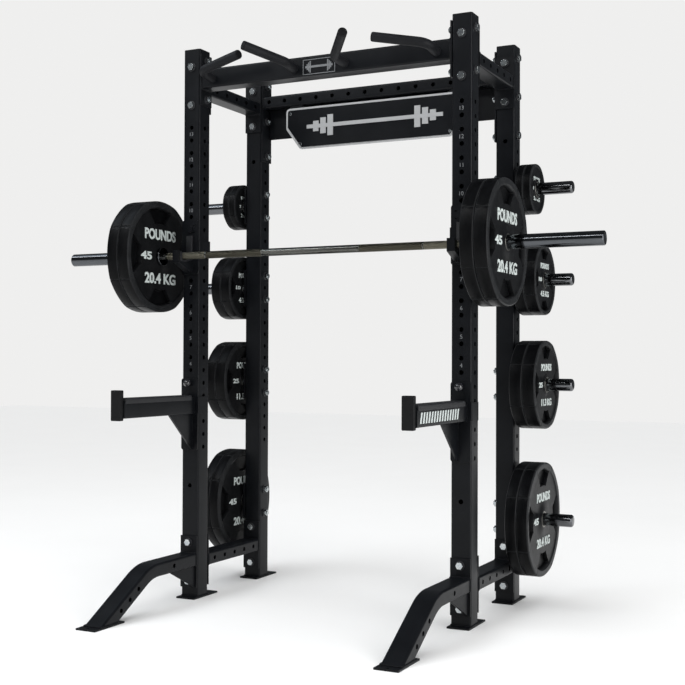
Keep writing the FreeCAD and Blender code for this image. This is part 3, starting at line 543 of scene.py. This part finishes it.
def plate_points(radius, thickness, pockets):
    """Half of a plate, on a grid of rings and angles: each ring's height is rim, face, pocket or hub."""
    base = plate_angles()
    hub = max(0.215, 0.040 / radius)
    rings = [(BORE_R + 0.0055) / radius, hub * 0.80, hub * 0.86, hub * 0.97, hub * 1.05, 0.42, POCKET_IN - 0.012,
             POCKET_IN + 0.012, 0.66, 0.76, POCKET_OUT - 0.012, POCKET_OUT + 0.010, RIM_IN, 0.92, 0.955, 0.978]
    heights = [-0.0005, -0.0005, -0.0022, -0.0022, -0.0045, -0.0048, -0.0048, -0.0048, -0.0048, -0.0048, -0.0048,
               -0.0042, -0.0003, 0.0, 0.0, 0.0]
    r = np.array(rings)[:, None]
    spread = math.radians(15) + (r - POCKET_IN) / (POCKET_OUT - POCKET_IN) * math.radians(8)
    spread = np.clip(spread, math.radians(15), math.radians(23))
    quarter = (base + np.pi / 4) % (np.pi / 2) - np.pi / 4
    axis = base - quarter
    side = math.radians(20)
    inside = quarter * spread / side
    outside = np.sign(quarter) * (spread + (np.abs(quarter) - side) * (np.pi / 4 - spread) / (np.pi / 4 - side))
    blend = np.clip((r - 0.93) / 0.03, 0, 1)
    angle = axis + (1 - blend) * np.where(np.abs(quarter) < side, inside, outside) + blend * quarter
    height = np.array(heights)[:, None] + 0 * angle
    if pockets:
        deep = (np.abs(quarter) < side) & (r > POCKET_IN) & (r < POCKET_OUT)
        height = height - POCKET_DEPTH * deep
    height = height - FACE_NOTCH * corner_notch(angle, 0.020) * (r > 0.9)
    reach = r * radius * (1 + (facet_radius(angle) - 1) * np.clip((r - 0.85) / 0.1, 0, 1))
    edge = []
    for share, drop in ((0.984, 0.0004), (0.997, 0.0030), (1.0, 0.0046), (1.0, thickness / 2)):
        notch = RIM_NOTCH * corner_notch(base, 0.013)
        edge.append((share * radius * facet_radius(base) - notch, base, -drop + 0 * base))
    reach = np.concatenate([reach] + [e[0][None] for e in edge])
    angle = np.concatenate([angle] + [e[1][None] for e in edge])
    height = np.concatenate([height] + [e[2][None] for e in edge])
    return reach, angle, height + thickness / 2


def plate_mesh(radius, thickness, x, y, z):
    """Both halves of a plate, back to back, on an axis along X through (y, z), centred on x."""
    reach, angle, height = plate_points(radius, thickness, radius > 0.13)
    parts = []
    for face in (-1, 1):
        points = np.stack([x + face * height, y + reach * np.sin(angle), z + reach * np.cos(angle)], -1)
        faces = quads(*reach.shape, False, True)
        parts.append((points.reshape(-1, 3), faces if face < 0 else faces[:, ::-1]))
    return parts


def hub_ring(thickness, x, y, z):
    """Pressed-in steel ring of a plate, bored for the bar, standing just proud on both faces."""
    half = thickness / 2 + 0.0003
    wide = BORE_R + 0.0058
    outline = [(-half + 0.004, wide), (-half + 0.0006, wide), (-half, wide - 0.0006), (-half, BORE_R + 0.001),
               (-half + 0.001, BORE_R), (half - 0.001, BORE_R), (half, BORE_R + 0.001), (half, wide - 0.0006),
               (half - 0.0006, wide), (half - 0.004, wide)]
    return lathe(outline, x, y, z, 1, 48)


def plate_words(radius, face_x, y, z, out, number, words, size):
    """Number beside the hub and a word above and below it, on the face that looks along out."""
    right = (0, out, 0)
    x = face_x - out * 0.0047
    place = [lettering(number, 0.14 * radius * size, (x, y - out * 0.415 * radius, z), right, Z, 0.0016, 0.03,
                       0.16 * radius * size * len(number))]
    for word, rise in zip(words, (0.385, -0.385)):
        place.append(lettering(word, 0.19 * radius * size, (x, y, z + rise * radius), right, Z, 0.0016, 0.03,
                               0.92 * radius * size))
    return place


STORED_WORDS = 0.82      # the words on the stored plates are smaller
PLATE_SETS = {"five": ("5", ("POUNDS", "2.3 KG")), "ten": ("10", ("POUNDS", "4.5 KG")),
              "twentyfive": ("25", ("POUNDS", "11.3 KG")), "fortyfive": ("45", ("POUNDS", "20.4 KG")),
              "bar": ("45", ("POUNDS", "20.4 KG"))}
for hand, side in ((-1, "left"), (1, "right")):
    for label, (number, words) in PLATE_SETS.items():
        node = f"{side}_{label}_plates"
        low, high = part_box(node)
        y = (low.y + high.y) / 2
        z = (low.z + high.z) / 2
        radius = (high.z - low.z) / 2
        each = (high.x - low.x) / 2
        moulding = []
        steel = []
        for x in (low.x + each / 2, high.x - each / 2):
            moulding += plate_mesh(radius, each - 0.0004, x, y, z)
            steel.append(hub_ring(each - 0.0012, x, y, z))
        pair = joined(f"{side}_{label}_rubber", moulding, rubber, body_of[node])
        # Per-point share of painted light: 1 on the raised rim as a painted sheen, 0.32 on the faces, and 0 on the
        # outer edge and in the pocket floors as painted shade.
        spots = np.concatenate([points for points, faces in moulding]) - (0, y, z)
        share = np.hypot(spots[:, 1], spots[:, 2]) / radius / facet_radius(np.arctan2(spots[:, 1], spots[:, 2]))
        depth = each / 2 - np.abs(np.abs(spots[:, 0] - (low.x + high.x) / 2) - each / 2)
        sheen_and_shade = np.where(share > 0.998, 0.0, np.where(share > 0.875, 1.0, np.where(depth < 0.010, 0.32, 0.0)))
        pair.data.attributes.new("rim_sheen_pocket_shade", "FLOAT", "POINT").data.foreach_set("value", sheen_and_shade.astype(np.float32))
        pair = tidy(pair)
        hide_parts(node)
        tidy(joined(f"{side}_{label}_hubs", steel, hub_steel, body_of[node]))
        size = 1.0 if label == "bar" else STORED_WORDS
        inked = []
        for face_x, out in ((low.x, -1), (high.x, 1)):
            inked += plate_words(radius, face_x, y, z, out, number, words, size)
        joined(f"{side}_{label}_lettering", inked, plate_print, body_of[node])

# --- Barbell --------------------------------------------------------------------------------------
# One ground steel shaft, knurled where it is gripped with two smooth marks, and a sleeve on each end
# that turns on it. The sleeves are bright chrome, with a stop collar inside and a set-in end cap.

low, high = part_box("left_sleeve")
bar_y = (low.y + high.y) / 2
bar_z = (low.z + high.z) / 2
SHAFT_R = 0.01425
SMOOTH_HALF = 0.205      # plain middle of the shaft
MARK_X = 0.455           # smooth ring marks
KNURL_END = 0.632


def knurl_mask(at):
    """1 on the two knurled stretches of the shaft and 0 on its middle, marks and ends."""
    x = abs(at.part(0))
    return (x > SMOOTH_HALF) * (x < KNURL_END) * (abs(x - MARK_X) > 0.003)


def knurl_height(at):
    """Diamonds from two opposite helices: waves in the angle round the bar plus and minus the length."""
    around = at.maths("ARCTAN2", at.part(1) - bar_y, at.part(2) - bar_z) * 56.0
    along = at.part(0) * 3900.0
    first = at.maths("SINE", around + along)
    second = at.maths("SINE", around - along)
    return at.maths("MAXIMUM", first, second) * knurl_mask(at)


shaft_steel = new_material(
    "bar_steel", lambda at: knurl_mask(at).blend(rgb(0.20, 0.20, 0.185), rgb(0.165, 0.155, 0.120)),
    lambda at: knurl_mask(at) * 0.20 + at.noise(300.0, 3.0) * 0.06 + 0.08, 1.0, knurl_height, 0.5, 0.0006)
bright_chrome = new_material(
    "sleeve_chrome", lambda at: at.noise(30.0, 3.0, 0.6, (0.3, 1, 1)).blend(rgb(0.085, 0.090, 0.097),
                                                                           rgb(0.130, 0.137, 0.148)),
    lambda at: at.noise(600.0, 3.0, 0.6, (0.08, 1, 1)) * 0.08 + 0.03, 1.0,
    lambda at: at.noise(1200.0, 2.0, 0.5, (0.05, 1, 1)), 0.03, 0.0003)
shaft_end = high.x
shaft = [(-shaft_end, 0.0), (-shaft_end, SHAFT_R)]
for centre in (-MARK_X, MARK_X):
    shaft += [(centre - 0.0035, SHAFT_R), (centre - 0.003, SHAFT_R - 0.0004), (centre + 0.003, SHAFT_R - 0.0004),
              (centre + 0.0035, SHAFT_R)]
shaft += [(shaft_end, SHAFT_R), (shaft_end, 0.0)]
bar = tidy(joined("bar_knurled_shaft", [lathe(shaft, 0.0, bar_y, bar_z, 1, 48)], shaft_steel, "barbell"))
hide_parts("bar_shaft")
SLEEVE_R = 0.0249
COLLAR_R = 0.036
COLLAR_T = 0.012
for hand, side in ((-1, "left"), (1, "right")):
    low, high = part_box(f"{side}_sleeve")
    length = high.x - low.x
    start = low.x if hand > 0 else high.x
    turned = [(0.0, SHAFT_R + 0.0006), (0.0, COLLAR_R - 0.002)] + arc(0.002, COLLAR_R - 0.002, 0.002, -90, 0, 4)
    turned += [(COLLAR_T - 0.002, COLLAR_R)] + arc(COLLAR_T - 0.002, COLLAR_R - 0.002, 0.002, 0, 90, 4)
    turned += [(COLLAR_T, SLEEVE_R + 0.003), (COLLAR_T + 0.003, SLEEVE_R), (length - 0.05, SLEEVE_R)]
    turned += [(length - 0.0025, SLEEVE_R), (length - 0.0004, SLEEVE_R - 0.0021), (length, SLEEVE_R - 0.003),
               (length, 0.0185), (length - 0.0025, 0.0180), (length - 0.0025, 0.0165), (length - 0.0012, 0.0160),
               (length - 0.0012, 0.0)]
    skin = tidy(joined(f"{side}_turned_sleeve", [lathe(turned, start, bar_y, bar_z, hand, 96)], bright_chrome,
                       f"{side}_sleeve_body"))
    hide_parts(f"{side}_sleeve")

# --- Bar catches ----------------------------------------------------------------------------------
# Folded and welded steel saddles with a narrow hook, pegged into the uprights. Black plastic lines
# the back, floor and lip of the hook so that the knurling isn't damaged.

liner = new_material(
    "liner_plastic", lambda at: at.noise(60.0, 3.0).blend(rgb(0.011, 0.0115, 0.013), rgb(0.019, 0.0195, 0.022)),
    lambda at: at.noise(300.0, 3.0, 0.6, (1, 0.2, 1)) * 0.2 + 0.34, height=lambda at: at.noise(900.0, 2.0), bump=0.08,
    depth=0.0003)
for side in ("left", "right"):
    dress(f"{side}_bar_catch", coat, 0.0010)
    dress(f"{side}_catch_liner", liner, 0.0008)

# --- Safety arms ----------------------------------------------------------------------------------
# Box tubes welded to saddles with a gusset below. A plastic strip folds over the top, a tall block
# closes the end, and a pull pin with a glossy round knob locks each arm in its hole.

knob_gloss = new_material(
    "knob_gloss", lambda at: at.noise(80.0, 2.0).blend(rgb(0.012, 0.012, 0.014), rgb(0.024, 0.024, 0.028)),
    lambda at: at.noise(200.0, 2.0) * 0.08 + 0.08, Coat_Weight=1.0, Coat_Roughness=0.04)
STRIPE_PITCH = 0.0235
for hand, side in ((-1, "left"), (1, "right")):
    dress(f"{side}_safety_arm", coat, 0.0010)
    dress(f"{side}_arm_liner", liner, 0.0008)
    dress(f"{side}_arm_stop", moulded, 0.0010)
    dress(f"{side}_arm_pin", knob_gloss)
    low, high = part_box(f"{side}_arm_liner")
    arm_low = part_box(f"{side}_arm_stop")[0].z + 0.010
    side_x = high.x - 0.003 if hand > 0 else low.x + 0.003
    stripes = []
    for k in range(int((high.y - low.y - 0.050) / STRIPE_PITCH)):
        y = low.y + 0.018 + k * STRIPE_PITCH
        points, faces = slab(0.0, 0.012, arm_low + 0.010, low.z - 0.006, 0.0, 0.0005, 0.010)
        turned = np.stack([side_x - hand * points[:, 1], y + points[:, 0], points[:, 2]], 1)
        stripes.append((turned, faces if hand > 0 else [face[::-1] for face in faces]))
    joined(f"{side}_arm_stripes", stripes, plate_print, f"{side}_arm")

# --- Room, light and camera -----------------------------------------------------------------------
# A pale floor under a plain pale backdrop. A very wide light overhead makes soft shadows, and dim
# panels in front, on the right and above give the black coat and the chrome their highlights.

floor_finish = new_material(
    "pale_floor", lambda at: at.noise(2.0, 2.0).blend(rgb(0.86, 0.86, 0.855), rgb(0.88, 0.88, 0.875)), 0.9,
    Specular_IOR_Level=0.0)
floor_mesh = bpy.data.meshes.new("floor")
floor_mesh.from_pydata([(-14, -14, 0), (14, -14, 0), (14, 14, 0), (-14, 14, 0)], [], [(0, 1, 2, 3)])
floor_mesh.materials.append(floor_finish)
floor = bpy.data.objects.new("floor", floor_mesh)
bpy.context.scene.collection.objects.link(floor)

world = bpy.data.worlds.new("room")
bpy.context.scene.world = world
world.use_nodes = True
room = Tone(world.node_tree)
backdrop = room.node("ShaderNodeBackground", {}, {"Color": rgb(0.93, 0.928, 0.922), "Strength": 0.93})
dim = room.node("ShaderNodeBackground", {}, {"Color": rgb(0.90, 0.95, 1.0), "Strength": 0.10})
seen = room.node("ShaderNodeLightPath")
mixed = room.node("ShaderNodeMixShader", {}, {0: seen, 1: dim, 2: backdrop})
world.node_tree.links.new(mixed.socket, world.node_tree.nodes["World Output"].inputs["Surface"])
bpy.context.scene.view_settings.view_transform = "Standard"


def soft_light(name, place, aim, width, height, power):
    """Rectangular area light at place, turned to face aim."""
    light = bpy.data.lights.new(name, "AREA")
    light.shape = "RECTANGLE"
    light.size = width
    light.size_y = height
    light.energy = power
    lamp = bpy.data.objects.new(name, light)
    bpy.context.scene.collection.objects.link(lamp)
    lamp.location = place
    lamp.rotation_euler = (Vector(aim) - Vector(place)).to_track_quat("-Z", "Y").to_euler()
    return lamp


ceiling = bpy.data.lights.new("ceiling", "SUN")
ceiling.energy = 2.7
ceiling.angle = math.radians(110)
overhead = bpy.data.objects.new("ceiling", ceiling)
bpy.context.scene.collection.objects.link(overhead)
overhead.visible_glossy = False
soft_light("key", (-2.6, -4.4, 2.6), (0, 0, 1.1), 0.7, 2.6, 9)
soft_light("strip", (4.8, -1.4, 1.7), (0.5, 0.1, 1.1), 2.6, 3.4, 120)
soft_light("sky", (-2.0, -1.2, 3.6), (-0.2, -0.5, 0.3), 2.6, 1.4, 16).data.color = (0.80, 0.90, 1.0)
soft_light("streak", (-1.2, -2.6, 4.0), (-0.2, 0, 1.3), 6.0, 0.20, 55)

lens = bpy.data.cameras.new("camera")
lens.sensor_width = 36.0
lens.lens = 61.57
lens.clip_end = 60.0
camera = bpy.data.objects.new("camera", lens)
bpy.context.scene.collection.objects.link(camera)
YAW, PITCH_UP, ROLL = (math.radians(a) for a in (26.36, 0.79, 0.20))
turn = Matrix.Rotation(YAW, 4, "Z") @ Matrix.Rotation(math.pi / 2 + PITCH_UP, 4, "X") @ Matrix.Rotation(ROLL, 4, "Z")
camera.matrix_world = Matrix.Translation((2.0364, -3.9540, 0.9491)) @ turn
bpy.context.scene.camera = camera
